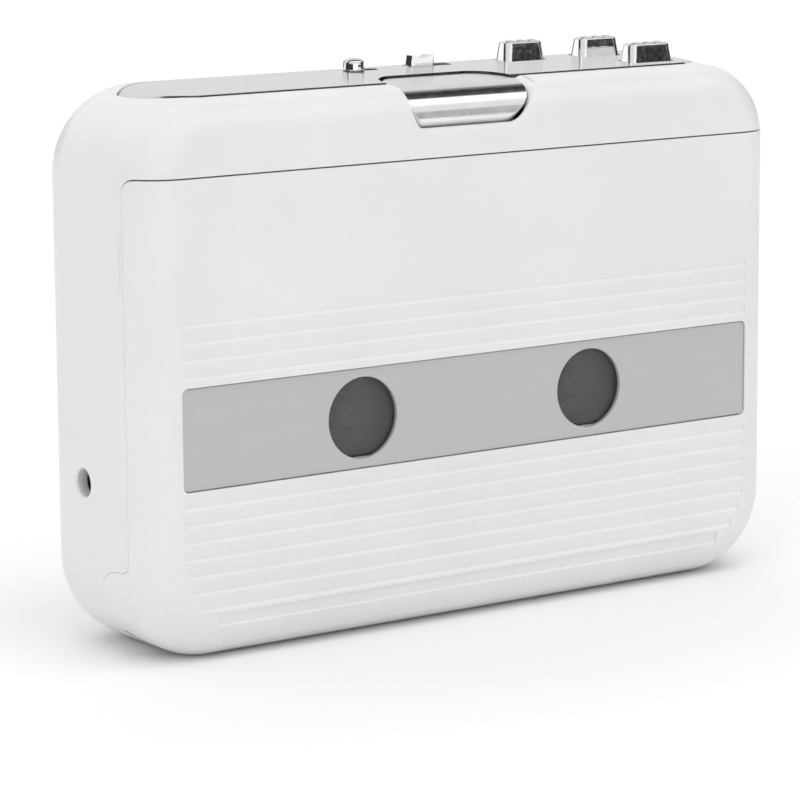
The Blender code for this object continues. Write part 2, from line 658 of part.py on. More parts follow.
motor = turned(
    "y", MOTOR_X, MOTOR_Z,
    [(3.0, 16.6), (3.0, 17.0), (9.6, 17.0), (10.4, 17.8), (10.4, 24.0), (4.0, 24.0), (4.0, 24.5)], 32,
)
motor = cut(motor, rod("y", MOTOR_X, MOTOR_Z, 1.2, 20, 30, 14))
finish("motor", motor, "steel")
pulley = turned(
    "y", MOTOR_X, MOTOR_Z,
    [(0.85, 21.0), (0.85, 25.0), (3.4, 25.0), (PULLEY_RADIUS, 25.6), (PULLEY_RADIUS, 27.0),
     (3.4, 27.4), (1.2, 27.6)],
    20,
)
finish("motor_pulley", pulley, "brass", (MOTOR_X, 26.0, MOTOR_Z))


def belt_outline(grow):
    """The line around both pulleys, this far outside them."""
    dx, dz = CAPSTAN_X - MOTOR_X, CAPSTAN_Z - MOTOR_Z
    base = math.atan2(dz, dx)
    tilt = math.acos((RIM_RADIUS - PULLEY_RADIUS) / math.hypot(dx, dz))
    outline = []
    small = 2 * tilt
    for k in range(13):
        turn = base + math.pi - small / 2 + small * k / 12
        reach = PULLEY_RADIUS + grow
        outline.append((MOTOR_X + reach * math.cos(turn), MOTOR_Z + reach * math.sin(turn)))
    large = 2 * (math.pi - tilt)
    for k in range(29):
        turn = base - large / 2 + large * k / 28
        reach = RIM_RADIUS + grow
        outline.append((CAPSTAN_X + reach * math.cos(turn), CAPSTAN_Z + reach * math.sin(turn)))
    return outline


belt = cut(prism(belt_outline(1.35), "y", 25.75, 26.85), prism(belt_outline(0.3), "y", 20, 30))
finish("drive_belt", belt, "black")

carriage = box(-8.5, 33.5, 12.9, 13.9, 72.3, 77.2)
carriage = join(carriage, box(13.2, 26.6, 13.5, 21.2, 74.4, 75.9))
carriage = cut(carriage, rod("y", CAPSTAN_X, 73.4, 1.1, 10, 20, 14))
finish("head_carriage", carriage, "steel", (10.0, 14.0, 75.0))
head = prism(rounded(-6.3, 6.3, 69.1, 75.8, 2.6, 0.5, steps=4), "y", 4.9, 12.5)
head = cut(head, box(-0.35, 0.35, 4.0, 13.0, 69.0, 69.7))
finish("tape_head", head, "steel", (0, 8.6, 72.0))
roller = cut(
    turned("y", CAPSTAN_X, 73.4, [(4.2, 5.5), (4.6, 5.9), (4.6, 12.0), (4.2, 12.4)], 28),
    rod("y", CAPSTAN_X, 73.4, 1.1, 0, 20, 14),
)
finish("pinch_roller", roller, "black", (CAPSTAN_X, 9.0, 73.4))
axle = turned("y", CAPSTAN_X, 73.4, [(1.5, 4.6), (1.5, 5.1), (0.8, 5.1), (0.8, 13.8)], 14)
finish("pinch_axle", axle, "steel")

# ---------------------------------------------------------------- electronics and power
board = prism(
    [(-56.0, 28.6), (-46.6, 28.6), (-46.6, 23.4), (-9.0, 23.4), (-9.0, 45.8), (-56.0, 45.8)],
    "y", 21.6, 22.7,
)
finish("main_board", board, "board")
finish("amp_chip", box(-34.0, -24.0, 23.0, 24.6, 31.0, 35.5), "black")
for k, (x, z) in enumerate(((-18.0, 38.0), (-40.0, 39.5)), 1):
    finish(f"capacitor_{k}", turned("y", x, z, [(3.0, 23.0), (3.0, 27.2), (2.6, 27.5)], 18), "dark")

jack = box(-57.2, -48.6, JACK_Y - 2.9, JACK_Y + 3.0, JACK_Z - 3.0, JACK_Z + 3.0)
jack = cut(jack, rod("x", JACK_Y, JACK_Z, 1.95, -60, -50.0, 20))
jack = join(jack, rod("x", JACK_Y, JACK_Z, 0.6, -56.6, -49.0, 10))
finish("dc_jack", jack, "black")

phone = join(box(46.6, 57.0, 16.6, 22.3, 53.9, 60.1), rod("x", PHONE_Y, PHONE_Z, 2.6, 56.0, 59.3, 22))
phone = cut(phone, rod("x", PHONE_Y, PHONE_Z, 1.8, 48.0, 60.0, 20))
finish("phone_jack", phone, "black")

finish("audio_board", box(44.0, 56.4, 22.7, 23.7, 29.5, 62.5), "board")
finish("volume_pot", rod("y", WHEEL_X, WHEEL_Z, 5.0, 20.4, 22.4, 20), "steel")
knurl = []
for k in range(36):
    for part, notch in ((0.0, 0.0), (0.5, 0.0), (0.62, 0.35), (0.88, 0.35)):
        turn = 2 * math.pi * (k + part) / 36
        reach = WHEEL_RADIUS - notch
        knurl.append((WHEEL_X + reach * math.cos(turn), WHEEL_Z + reach * math.sin(turn)))
finish("volume_wheel", prism(knurl, "y", 17.6, 20.05), "dark", (WHEEL_X, 19.0, WHEEL_Z))

finish("cell_contact", box(-52.6, -52.0, 18.0, 26.0, 8.4, 15.2), "steel")


def coil(x0, x1, radius0, radius1, turns, wire):
    """A cone-shaped spring about the battery axis, from x0 to x1."""
    steps = int(turns * 12)
    rings = []
    for k in range(steps + 1):
        share = k / steps
        turn = 2 * math.pi * turns * share
        radius = radius0 + (radius1 - radius0) * share
        ring = []
        for m in range(6):
            around = 2 * math.pi * m / 6
            reach = radius + wire * math.cos(around)
            ring.append((
                x0 + (x1 - x0) * share + wire * math.sin(around),
                CELL_Y + reach * math.cos(turn),
                CELL_Z + reach * math.sin(turn),
            ))
        rings.append(ring)
    return loft(rings)


finish("cell_spring", coil(52.6, 49.4, 3.8, 2.2, 3.2, 0.3), "steel")


def screw(x, z, head_radius, head_low, head_high, shaft_radius, shaft_end):
    """A cross-head screw about y; the head may face either way."""
    outward = 1 if head_high > shaft_end else -1
    low, high = sorted((head_low, head_high))
    piece = rod("y", x, z, head_radius, low, high, 18)
    near, far = sorted(((head_low + head_high) / 2, shaft_end))
    piece = join(piece, rod("y", x, z, shaft_radius, near, far, 12))
    face = high if outward > 0 else low
    for wide, tall in ((1.1, 0.25), (0.25, 1.1)):
        piece = cut(piece, box(x - wide, x + wide, face - 0.45, face + 0.45, z - tall, z + tall))
    return piece


for k, (x, z) in enumerate(BOSSES, 1):
    finish(f"case_screw_{k}", screw(x, z, 2.0, 29.35, 30.5, 0.9, 23.2), "steel")
for k, (x, z) in enumerate(CHASSIS_SCREWS, 1):
    finish(f"chassis_screw_{k}", screw(x, z, 1.9, 13.9, 14.9, 0.75, 19.0), "steel")
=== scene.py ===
"""The looks of a portable cassette player: moulded shells, plated keys, trim, mechanism, light and camera.

Lengths are millimetres in the body frame until finish_piece(), which writes metres in the row frame.
X runs across the front, y is the depth behind the front face and z is the height above the bottom.
"""

import json
import math

import bmesh
import bpy
from mathutils import Matrix, Vector


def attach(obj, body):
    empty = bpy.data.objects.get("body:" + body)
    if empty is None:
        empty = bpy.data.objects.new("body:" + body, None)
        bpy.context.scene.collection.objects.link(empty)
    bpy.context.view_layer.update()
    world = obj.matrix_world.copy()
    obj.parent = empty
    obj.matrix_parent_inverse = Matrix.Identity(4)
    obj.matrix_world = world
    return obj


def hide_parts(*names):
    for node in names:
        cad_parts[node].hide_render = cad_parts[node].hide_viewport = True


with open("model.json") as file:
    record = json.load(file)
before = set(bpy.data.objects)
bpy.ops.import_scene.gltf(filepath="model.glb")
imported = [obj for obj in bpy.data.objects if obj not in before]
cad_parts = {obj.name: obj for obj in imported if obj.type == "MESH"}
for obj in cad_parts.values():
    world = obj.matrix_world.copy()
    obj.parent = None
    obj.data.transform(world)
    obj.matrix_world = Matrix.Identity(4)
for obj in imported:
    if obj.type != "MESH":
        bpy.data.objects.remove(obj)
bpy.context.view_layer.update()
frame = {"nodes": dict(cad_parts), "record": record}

MM = 0.001
WELD = 0.01
SHARP_ANGLE, CARRIED_SHARP_ANGLE = 28, 40
FAR = 70  # past the player on every side
HALF_WIDTH, DEPTH = 59.5, 31.5
WALL, ROOF_WALL, REAR_WALL = 2.0, 3.4, 1.15
FRONT_ROUND, REAR_ROUND = 7.5, 10.0
TOP_CORNER, BOTTOM_CORNER = 13.0, 13.5
CORNER_STEPS, ROUND_STEPS = 18, 14
BROW_DEPTH, BROW_FOOT, BROW_HEIGHT = 5.6, 77.2, 4.8
TOP_REAR = 83.2
REAR_START = DEPTH - REAR_ROUND

SEAM, GAP, SIDE_GAP = 71.15, 0.22, 0.05
CHEEK_DEPTH = 5.2
HINGE_Y, HINGE_Z = 7.5, 7.5
BARREL = 6.4
BACK_SPLIT = 28.2
HUB_X, HUB_Z = 21.25, 33.55
STRIP_HALF, STRIP_LOW, STRIP_HIGH = 52.6, 26.05, 41.0
REEL_HOLE = 6.15
CELL_Y, CELL_Z, CELL_RADIUS = 21.9, 11.3, 7.25
BAY_ROOF = CELL_Z + CELL_RADIUS + 1.45
LUG = (52.95, 53.85)
LATCH_PIVOT = (-15.9, 9.0, 71.3)

BUTTON_HOLE = (-12.2, 10.8, 54.2, 67.2)
BUTTON_FACE = (-12.1, 10.2, 54.35, 66.45)
BUTTON_ROUND, BUTTON_LOW_LEFT = 4.8, 2.4
PLATE = (-51.7, 51.1, 6.2, 22.6)
PLATE_TIP = 18.1
PLATE_FRONT_END, PLATE_REAR_END = 7.0, 18.0
PLATE_THICK, PLATE_CHAMFER, PLATE_RISE = 1.2, 0.55, 0.15
KEYS = {
    "key_play": (18.9, 26.7, 18.2, 21.8),
    "key_forward": (33.3, 41.2, 17.6, 21.2),
    "key_stop": (36.6, 45.2, 9.2, 12.8),
}
KEY_DRAFT = 0.38
KEY_STEM = {"key_play": 76.3, "key_forward": 75.6, "key_stop": 75.6}
SWITCH = (1.3, 5.8, 19.3, 21.4)
POST_X, POST_Y, POST_RADIUS = -9.2, 19.6, 1.65
SLIDE_TRAVEL = 3.0
JACK_Y, JACK_Z = 17.3, 25.6
PHONE_Y, PHONE_Z = 19.0, 57.0
WHEEL_X, WHEEL_Z, WHEEL_RADIUS = 51.2, 40.0, 8.0
BOSSES = ((-50.5, 62.0), (50.5, 72.0), (-50.5, 24.0), (50.5, 24.0))
CHASSIS_SCREWS = ((-45.5, 70.5), (45.5, 70.5), (-45.5, 30.4), (45.5, 30.4))
RIDGES = [42.38 + 2.56 * k for k in range(4)] + [23.4 - 2.55 * k for k in range(8)]
RIDGE_CORNER, RIDGE_FOOT = 12.0, 3.5
CAPSTAN_X, CAPSTAN_Z, ROLLER_Z = 27.5, 64.6, 73.4
GEAR_MODULE = 0.5
PINION_TEETH, IDLER_TEETH, REEL_TEETH = 14, 42, 32


# ---------------------------------------------------------------- mesh helpers
def solid(points, faces):
    mesh = bpy.data.meshes.new("shape")
    mesh.from_pydata([tuple(p) for p in points], [], faces)
    work = bmesh.new()
    work.from_mesh(mesh)
    bmesh.ops.remove_doubles(work, verts=work.verts, dist=1e-5)
    bmesh.ops.recalc_face_normals(work, faces=work.faces)
    work.to_mesh(mesh)
    work.free()
    obj = bpy.data.objects.new("shape", mesh)
    bpy.context.scene.collection.objects.link(obj)
    return obj


def loft(rings):
    """A closed solid through rings that all have the same number of points."""
    count = len(rings[0])
    points = [p for ring in rings for p in ring]
    faces = []
    for r in range(len(rings) - 1):
        for k in range(count):
            low, high = r * count, (r + 1) * count
            after = (k + 1) % count
            faces.append((low + k, low + after, high + after, high + k))
    faces.append(tuple(reversed(range(count))))
    faces.append(tuple(range((len(rings) - 1) * count, len(rings) * count)))
    return solid(points, faces)


def place(axis, a, b, along):
    """A point from two coordinates across an axis and one along it."""
    return {"x": (along, a, b), "y": (a, along, b), "z": (a, b, along)}[axis]


def prism(outline, axis, low, high):
    return loft([[place(axis, a, b, s) for a, b in outline] for s in (low, high)])


def box(x0, x1, y0, y1, z0, z1):
    return prism([(x0, y0), (x1, y0), (x1, y1), (x0, y1)], "z", z0, z1)


def circle(a, b, radius, count):
    turns = [2 * math.pi * k / count for k in range(count)]
    return [(a + radius * math.cos(t), b + radius * math.sin(t)) for t in turns]


def rod(axis, a, b, radius, low, high, count=48):
    return prism(circle(a, b, radius, count), axis, low, high)


def turned(axis, a, b, profile, count=48):
    """A turned solid from (radius, position along the axis) pairs."""
    return loft([[place(axis, p, q, s) for p, q in circle(a, b, r, count)] for r, s in profile])


def rounded(x0, x1, z0, z1, low_radius, high_radius=None, low_left=None, steps=CORNER_STEPS):
    """A rectangle with one radius at its low corners, another at its high ones, and its own at the low left."""
    high_radius = low_radius if high_radius is None else high_radius
    low_left = low_radius if low_left is None else low_left
    corners = (
        (x1 - low_radius, z0 + low_radius, low_radius, -90),
        (x1 - high_radius, z1 - high_radius, high_radius, 0),
        (x0 + high_radius, z1 - high_radius, high_radius, 90),
        (x0 + low_left, z0 + low_left, low_left, 180),
    )
    outline = []
    for a, b, radius, start in corners:
        for k in range(steps + 1):
            turn = math.radians(start + 90 * k / steps)
            outline.append((a + radius * math.cos(turn), b + radius * math.sin(turn)))
    return outline


def boolean(base, others, operation):
    for other in others:
        modifier = base.modifiers.new("cut", "BOOLEAN")
        modifier.object = other
        modifier.operation = operation
        graph = bpy.context.evaluated_depsgraph_get()
        mesh = bpy.data.meshes.new_from_object(base.evaluated_get(graph))
        base.modifiers.clear()
        base.data = mesh
        bpy.data.objects.remove(other, do_unlink=True)
    return base


def cut(base, *others):
    return boolean(base, others, "DIFFERENCE")


def join(base, *others):
    return boolean(base, others, "UNION")


def keep(base, *others):
    return boolean(base, others, "INTERSECT")


def moved(obj, x=0.0, y=0.0, z=0.0):
    obj.data.transform(Matrix.Translation((x, y, z)))
    return obj


def mirror_pair(low, high):
    """The same stretch of X on the right and on the left."""
    return ((low, high), (-high, -low))


def finish_piece(name, obj, carrier, slot, nodes=(), edge=0.12, segments=2, look=None, flat=None):
    """Welds, rounds the edges by edge millimetres, shades, turns into metres and hands the piece to its body.

    Where flat is given, edges of more than that many degrees are shaded as sharp ones.
    """
    work = bmesh.new()
    work.from_mesh(obj.data)
    bmesh.ops.remove_doubles(work, verts=work.verts, dist=WELD)
    bmesh.ops.dissolve_degenerate(work, edges=work.edges, dist=WELD / 2)
    bmesh.ops.recalc_face_normals(work, faces=work.faces)
    work.to_mesh(obj.data)
    work.free()
    obj.data.transform(Matrix.Translation((0, -DEPTH / 2, 0)))
    obj.data.transform(Matrix.Scale(MM, 4))
    obj.name = obj.data.name = name
    soften(obj, edge * MM, segments, SHARP_ANGLE)
    if flat:
        obj.data.set_sharp_from_angle(angle=math.radians(flat))
    obj.data.materials.clear()
    obj.data.materials.append(finish_of(look or slot))
    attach(obj, carrier)
    if nodes:
        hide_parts(*nodes)
    return obj


def soften(obj, width, segments, sharp):
    """Rounds the sharp edges and shades the rest smooth."""
    obj.data.shade_smooth()
    if width > 0:
        bevel = obj.modifiers.new("round", "BEVEL")
        bevel.width = width
        bevel.segments = segments
        bevel.limit_method = "ANGLE"
        bevel.angle_limit = math.radians(sharp)
        bevel.miter_outer = "MITER_ARC"
        bevel.harden_normals = False
    normals = obj.modifiers.new("normals", "WEIGHTED_NORMAL")
    normals.keep_sharp = True
    normals.weight = 60


# ---------------------------------------------------------------- materials
def nodes_of(name, **constants):
    made = bpy.data.materials.new(name)
    made.use_nodes = True
    tree = made.node_tree
    shader = tree.nodes["Principled BSDF"]
    for socket, value in constants.items():
        shader.inputs[socket.replace("_", " ")].default_value = value
    return made, tree, shader


def node(tree, kind, inputs=None, **settings):
    made = tree.nodes.new(kind)
    for key, value in settings.items():
        setattr(made, key, value)
    for key, value in (inputs or {}).items():
        if isinstance(value, bpy.types.NodeSocket):
            tree.links.new(value, made.inputs[key])
        else:
            made.inputs[key].default_value = value
    return made


def coordinates(tree, per_mm=(1.0, 1.0, 1.0)):
    """Object coordinates in millimetres, scaled along each axis."""
    source = node(tree, "ShaderNodeTexCoord")
    scale = [1000.0 * s for s in per_mm]
    return node(tree, "ShaderNodeMapping", {"Vector": source.outputs["Object"], "Scale": scale}).outputs[0]


def noise(tree, per_mm, detail=3.0, rough=0.5):
    vector = coordinates(tree, per_mm)
    wanted = {"Vector": vector, "Scale": 1.0, "Detail": detail, "Roughness": rough}
    return node(tree, "ShaderNodeTexNoise", wanted).outputs[0]


def between(tree, value, low, high, start=0.3, stop=0.7):
    wanted = {"Value": value, "From Min": start, "From Max": stop, "To Min": low, "To Max": high}
    return node(tree, "ShaderNodeMapRange", wanted).outputs[0]


def tint(tree, value, dark, light, start=0.3, stop=0.7):
    """A colour between two, by value."""
    fac = between(tree, value, 0.0, 1.0, start, stop)
    mix = node(tree, "ShaderNodeMix", data_type="RGBA")
    tree.links.new(fac, mix.inputs[0])
    mix.inputs[6].default_value = (*dark, 1.0)
    mix.inputs[7].default_value = (*light, 1.0)
    return mix.outputs[2]


def bump(tree, shader, height, strength, distance_mm):
    wanted = {"Height": height, "Strength": strength, "Distance": distance_mm * MM}
    made = node(tree, "ShaderNodeBump", wanted)
    tree.links.new(made.outputs[0], shader.inputs["Normal"])


def surface(name, dark, light, low, high, colour_noise, rough_noise, grain=None, **constants):
    """A material whose colour and roughness both vary, with an optional fine grain."""
    made, tree, shader = nodes_of(name, **constants)
    tree.links.new(tint(tree, noise(tree, colour_noise), dark, light), shader.inputs["Base Color"])
    tree.links.new(between(tree, noise(tree, rough_noise), low, high), shader.inputs["Roughness"])
    if grain:
        per_mm, strength, distance = grain
        bump(tree, shader, noise(tree, per_mm), strength, distance)
    return made


def even(size):
    return (size, size, size)


def make_shell():
    return surface(
        "shell", (0.752, 0.752, 0.749), (0.787, 0.787, 0.784), 0.30, 0.40,
        even(0.05), even(0.6), (even(7.0), 0.10, 0.02), IOR=1.52,
    )


def make_inner():
    return surface(
        "inner", (0.74, 0.74, 0.73), (0.79, 0.79, 0.78), 0.42, 0.55,
        even(0.08), even(0.8), (even(5.0), 0.12, 0.03), IOR=1.5,
    )


def make_silver():
    """Satin silver with a very fine straight brushing along the strip."""
    made, tree, shader = nodes_of("silver", Metallic=0.25, Anisotropic=0.4)
    streaks = noise(tree, (0.04, 3.0, 9.0), detail=6.0, rough=0.7)
    colour = tint(tree, streaks, (0.488, 0.488, 0.488), (0.516, 0.516, 0.516))
    tree.links.new(colour, shader.inputs["Base Color"])
    tree.links.new(between(tree, streaks, 0.42, 0.50), shader.inputs["Roughness"])
    bump(tree, shader, streaks, 0.04, 0.01)
    return made


def make_smoke():
    made, tree, shader = nodes_of("smoke", Alpha=0.40, IOR=1.49)
    colour = tint(tree, noise(tree, even(0.15)), (0.135, 0.135, 0.138), (0.160, 0.160, 0.163))
    tree.links.new(colour, shader.inputs["Base Color"])
    tree.links.new(between(tree, noise(tree, even(2.0)), 0.10, 0.20), shader.inputs["Roughness"])
    return made


def make_chrome():
    """Plated plastic: a mirror that waves a little, as its moulding does."""
    made, tree, shader = nodes_of("chrome", Metallic=1.0)
    colour = tint(tree, noise(tree, even(0.5)), (0.83, 0.835, 0.84), (0.90, 0.905, 0.91))
    tree.links.new(colour, shader.inputs["Base Color"])
    tree.links.new(between(tree, noise(tree, even(1.2)), 0.03, 0.08), shader.inputs["Roughness"])
    bump(tree, shader, noise(tree, even(0.5), detail=2.0), 0.12, 0.05)
    return made


def make_satin():
    """The same plating over a finer, duller surface, for the top plate and the OPEN button."""
    made, tree, shader = nodes_of("satin", Metallic=1.0)
    colour = tint(tree, noise(tree, even(0.3)), (0.84, 0.84, 0.845), (0.89, 0.89, 0.895))
    tree.links.new(colour, shader.inputs["Base Color"])
    tree.links.new(between(tree, noise(tree, even(1.0)), 0.16, 0.21), shader.inputs["Roughness"])
    bump(tree, shader, noise(tree, even(0.3), detail=2.0), 0.15, 0.03)
    return made


def make_steel():
    return surface(
        "steel", (0.46, 0.47, 0.48), (0.60, 0.61, 0.62), 0.25, 0.42,
        even(0.6), (0.4, 0.4, 5.0), ((0.5, 0.5, 8.0), 0.12, 0.01), Metallic=1.0,
    )


def make_brass():
    return surface(
        "brass", (0.60, 0.44, 0.20), (0.76, 0.58, 0.30), 0.22, 0.38,
        even(0.7), even(3.0), (even(6.0), 0.10, 0.01), Metallic=1.0,
    )


def make_dark():
    return surface(
        "dark", (0.035, 0.035, 0.038), (0.055, 0.055, 0.058), 0.32, 0.48,
        even(0.3), even(1.5), (even(6.0), 0.15, 0.02), IOR=1.5,
    )


def make_black():
    return surface(
        "black", (0.012, 0.012, 0.013), (0.028, 0.028, 0.030), 0.55, 0.75,
        even(0.8), even(3.0), (even(9.0), 0.20, 0.02), IOR=1.5,
    )


def make_white_gear():
    return surface(
        "white_gear", (0.76, 0.75, 0.70), (0.84, 0.83, 0.78), 0.35, 0.48,
        even(0.3), even(2.0), (even(5.0), 0.10, 0.02), IOR=1.48,
    )


def make_board():
    """Lacquered board with copper tracks showing lighter through the green."""
    made, tree, shader = nodes_of("board", IOR=1.5, Coat_Weight=0.4, Coat_Roughness=0.15)
    vector = coordinates(tree, (0.55, 0.55, 0.55))
    tracks = node(
        tree, "ShaderNodeTexVoronoi", {"Vector": vector, "Scale": 1.0},
        feature="DISTANCE_TO_EDGE", distance="CHEBYCHEV",
    ).outputs["Distance"]
    colour = tint(tree, tracks, (0.05, 0.24, 0.09), (0.015, 0.11, 0.045), 0.05, 0.09)
    tree.links.new(colour, shader.inputs["Base Color"])
    tree.links.new(between(tree, noise(tree, even(1.0)), 0.3, 0.45), shader.inputs["Roughness"])
    bump(tree, shader, tracks, 0.15, 0.03)
    return made


MAKERS = {
    "shell": make_shell, "inner": make_inner, "silver": make_silver, "smoke": make_smoke,
    "chrome": make_chrome, "satin": make_satin, "steel": make_steel, "brass": make_brass, "dark": make_dark,
    "black": make_black, "white_gear": make_white_gear, "board": make_board,
}
made_materials = {}


def finish_of(slot):
    if slot not in made_materials:
        made_materials[slot] = MAKERS[slot]()
    return made_materials[slot]


# ---------------------------------------------------------------- outer form
def side_inset(y, wall):
    """How far the side and bottom surfaces lie inside the widest section, for a wall offset."""
    if y < FRONT_ROUND:
        reach = min(FRONT_ROUND - y, FRONT_ROUND - wall)
        return FRONT_ROUND - math.sqrt((FRONT_ROUND - wall) ** 2 - reach**2)
    if y > REAR_START:
        reach = min(y - REAR_START, REAR_ROUND - wall)
        return REAR_ROUND - math.sqrt((REAR_ROUND - wall) ** 2 - reach**2)
    return wall


def top_height(y, wall, drop):
    """The height of the top at this depth; drop is the wall offset of the roof."""
    if y < BROW_DEPTH:
        reach = min((BROW_DEPTH - y) / (BROW_DEPTH - wall), 1.0)
        return BROW_FOOT + (BROW_HEIGHT - drop) * math.sqrt(1 - reach**2)
    brow = BROW_FOOT + BROW_HEIGHT
    if y < REAR_START:
        return brow + (TOP_REAR - brow) * (y - BROW_DEPTH) / (REAR_START - BROW_DEPTH) - drop
    reach = min(y - REAR_START, REAR_ROUND - wall)
    centre = TOP_REAR - REAR_ROUND
    return centre + math.sqrt((REAR_ROUND - wall) ** 2 - reach**2) - (drop - wall)


def section(y, wall, drop):
    inset = side_inset(y, wall)
    half = HALF_WIDTH - inset
    low = max(BOTTOM_CORNER - inset, 0.8)
    high = max(TOP_CORNER - inset - (drop - wall), 0.8)
    return rounded(-half, half, inset, top_height(y, wall, drop), low, high)


def body(wall=0.0, drop=None, steps=ROUND_STEPS):
    """The outer shape of the player, or the same shape offset inwards."""
    drop = wall if drop is None else drop
    turns = [math.radians(90 * k / steps) for k in range(steps + 1)]
    depths = [FRONT_ROUND - (FRONT_ROUND - wall) * math.cos(t) for t in turns]
    depths += [REAR_START + (REAR_ROUND - wall) * math.sin(t) for t in turns]
    depths += [BROW_DEPTH - (BROW_DEPTH - wall) * math.cos(t) for t in turns]
    depths = sorted(set(round(d, 3) for d in depths))
    depths = [d for k, d in enumerate(depths) if k == 0 or d - depths[k - 1] > 0.04]
    return loft([[place("y", a, b, y) for a, b in section(y, wall, drop)] for y in depths])


def slanted(outline, low, high):
    """A prism whose axis leans 45 degrees between up and forward, for the OPEN button."""
    return loft([[lean(x, v, s) for x, v in outline] for s in (low, high)])


def lean(x, v, s):
    half = math.sqrt(0.5)
    return (x, half * (v - s), half * (v + s))


def depth_along(x, v, depth):
    """The point on this leaning line that lies depth below the skin."""
    low, high = 40.0, 70.0
    for _ in range(40):
        middle = (low + high) / 2
        _, y, z = lean(x, v, middle)
        if y > depth and z < top_height(y, depth, depth):
            low = middle
        else:
            high = middle
    return lean(x, v, low)


def button_outline(sides, grow=0.0):
    """The outline of the button or of its hole; it grows everywhere but on the left."""
    x0, x1, low, high = sides
    radius = BUTTON_ROUND + grow
    return rounded(x0, x1 + grow, low - grow, high + grow, radius, radius, BUTTON_LOW_LEFT + grow)


def plate_outline(inset, steps=24):
    """Straight long edges and pointed ends: a short quarter ellipse in front, a long flat one behind."""
    x0, x1, y0, y1 = PLATE
    front, rear = PLATE_TIP - y0 - inset, y1 - PLATE_TIP - inset
    outline = []
    for end, reach, across, start in (
        (x1, -PLATE_FRONT_END, front, -90), (x1, -PLATE_REAR_END, rear, 0),
        (x0, PLATE_REAR_END, rear, 90), (x0, PLATE_FRONT_END, front, 180),
    ):
        for k in range(steps + 1):
            turn = math.radians(start + 90 * k / steps)
            along = (abs(reach) - inset) * math.cos(turn)
            outline.append((end + reach + along, PLATE_TIP + across * math.sin(turn)))
    return outline


def skin_height(x, y):
    """The height of the top surface at a place, also where the sides round down."""
    radius = TOP_CORNER - side_inset(y, 0.0)
    beyond = max(abs(x) - (HALF_WIDTH - TOP_CORNER), 0.0)
    return top_height(y, 0.0, 0.0) - radius + math.sqrt(radius**2 - beyond**2)


def control_slots(gap):
    """Cutters for every control that comes up through the top."""
    slots = [
        prism(rounded(x0 - gap, x1 + gap, y0 - gap, y1 + gap, 1.0, steps=5), "z", 70, 90)
        for x0, x1, y0, y1 in KEYS.values()
    ]
    x0, x1, y0, y1 = SWITCH
    wide = rounded(x0 - gap, x1 + SLIDE_TRAVEL + gap, y0 - gap, y1 + gap, 0.4, steps=4)
    slots.append(prism(wide, "z", 70, 90))
    slim = rounded(
        POST_X - 1.0 - gap, POST_X + 1.0 + SLIDE_TRAVEL + gap,
        POST_Y - 0.6 - gap, POST_Y + 0.6 + gap, 0.6, steps=6,
    )
    slots.append(prism(slim, "z", 70, 90))
    return slots


def lowered_body(drop):
    return moved(body(0.0), z=-drop)


def door_side(gap, side_gap=0.0):
    """The side outline of the door, grown by one gap at its top and by another at its sides."""
    edge = CHEEK_DEPTH + side_gap
    reach = BARREL + side_gap
    turn_radius = 1.8
    outline = [(-2.0, SEAM + gap)]
    for k in range(9):
        turn = math.radians(90 - 90 * k / 8)
        outline.append((
            edge - turn_radius + turn_radius * math.cos(turn),
            SEAM + gap - turn_radius + turn_radius * math.sin(turn),
        ))
    foot = HINGE_Z + math.sqrt(reach**2 - (HINGE_Y - edge) ** 2)
    outline.append((edge, foot + 2.0))
    outline.append((edge + 0.12, foot + 1.4))
    outline.append((edge + 0.35, foot + 0.9))
    start = math.degrees(math.atan2(foot - HINGE_Z, edge - HINGE_Y)) - 12
    for k in range(25):
        turn = math.radians(start - (start + 88) * k / 24)
        outline.append((HINGE_Y + reach * math.cos(turn), HINGE_Z + reach * math.sin(turn)))
    outline.append((HINGE_Y + 0.6 + side_gap, -2.0))
    outline.append((-2.0, -2.0))
    return outline


def arc_band(a, b, inner, outer, start, stop, steps=36):
    turns = [math.radians(start + (stop - start) * k / steps) for k in range(steps + 1)]
    outline = [(a + outer * math.cos(t), b + outer * math.sin(t)) for t in turns]
    outline += [(a + inner * math.cos(t), b + inner * math.sin(t)) for t in reversed(turns)]
    return outline


# ---------------------------------------------------------------- case
def button_recess():
    """The well of the OPEN button, with a soft chamfer around its mouth except on the left."""
    rings = [[lean(x, v, 68.0) for x, v in button_outline(BUTTON_HOLE, 1.7)]]
    for grow, depth in ((1.7, -0.02), (1.3, 0.04), (0.9, 0.17), (0.5, 0.38), (0.15, 0.64), (0.0, 0.9)):
        rings.append([depth_along(x, v, depth) for x, v in button_outline(BUTTON_HOLE, grow)])
    rings.append([lean(x, v, 44.0) for x, v in button_outline(BUTTON_HOLE)])
    return loft(rings)


def hinge_ear(low):
    """The tongue at one end of the tray, with the hole of a hinge pin."""
    lug = [(14.2, 9.6), (14.6, 12.4), (7.5, 9.6), (6.05, 8.95), (5.45, 7.5), (6.05, 6.05)]
    lug += [(7.5, 5.45), (9.0, 6.2)]
    high = low + LUG[1] - LUG[0]
    return cut(prism(lug, "x", low, high), rod("x", HINGE_Y, HINGE_Z, 1.25, low - 1, high + 1, 32))


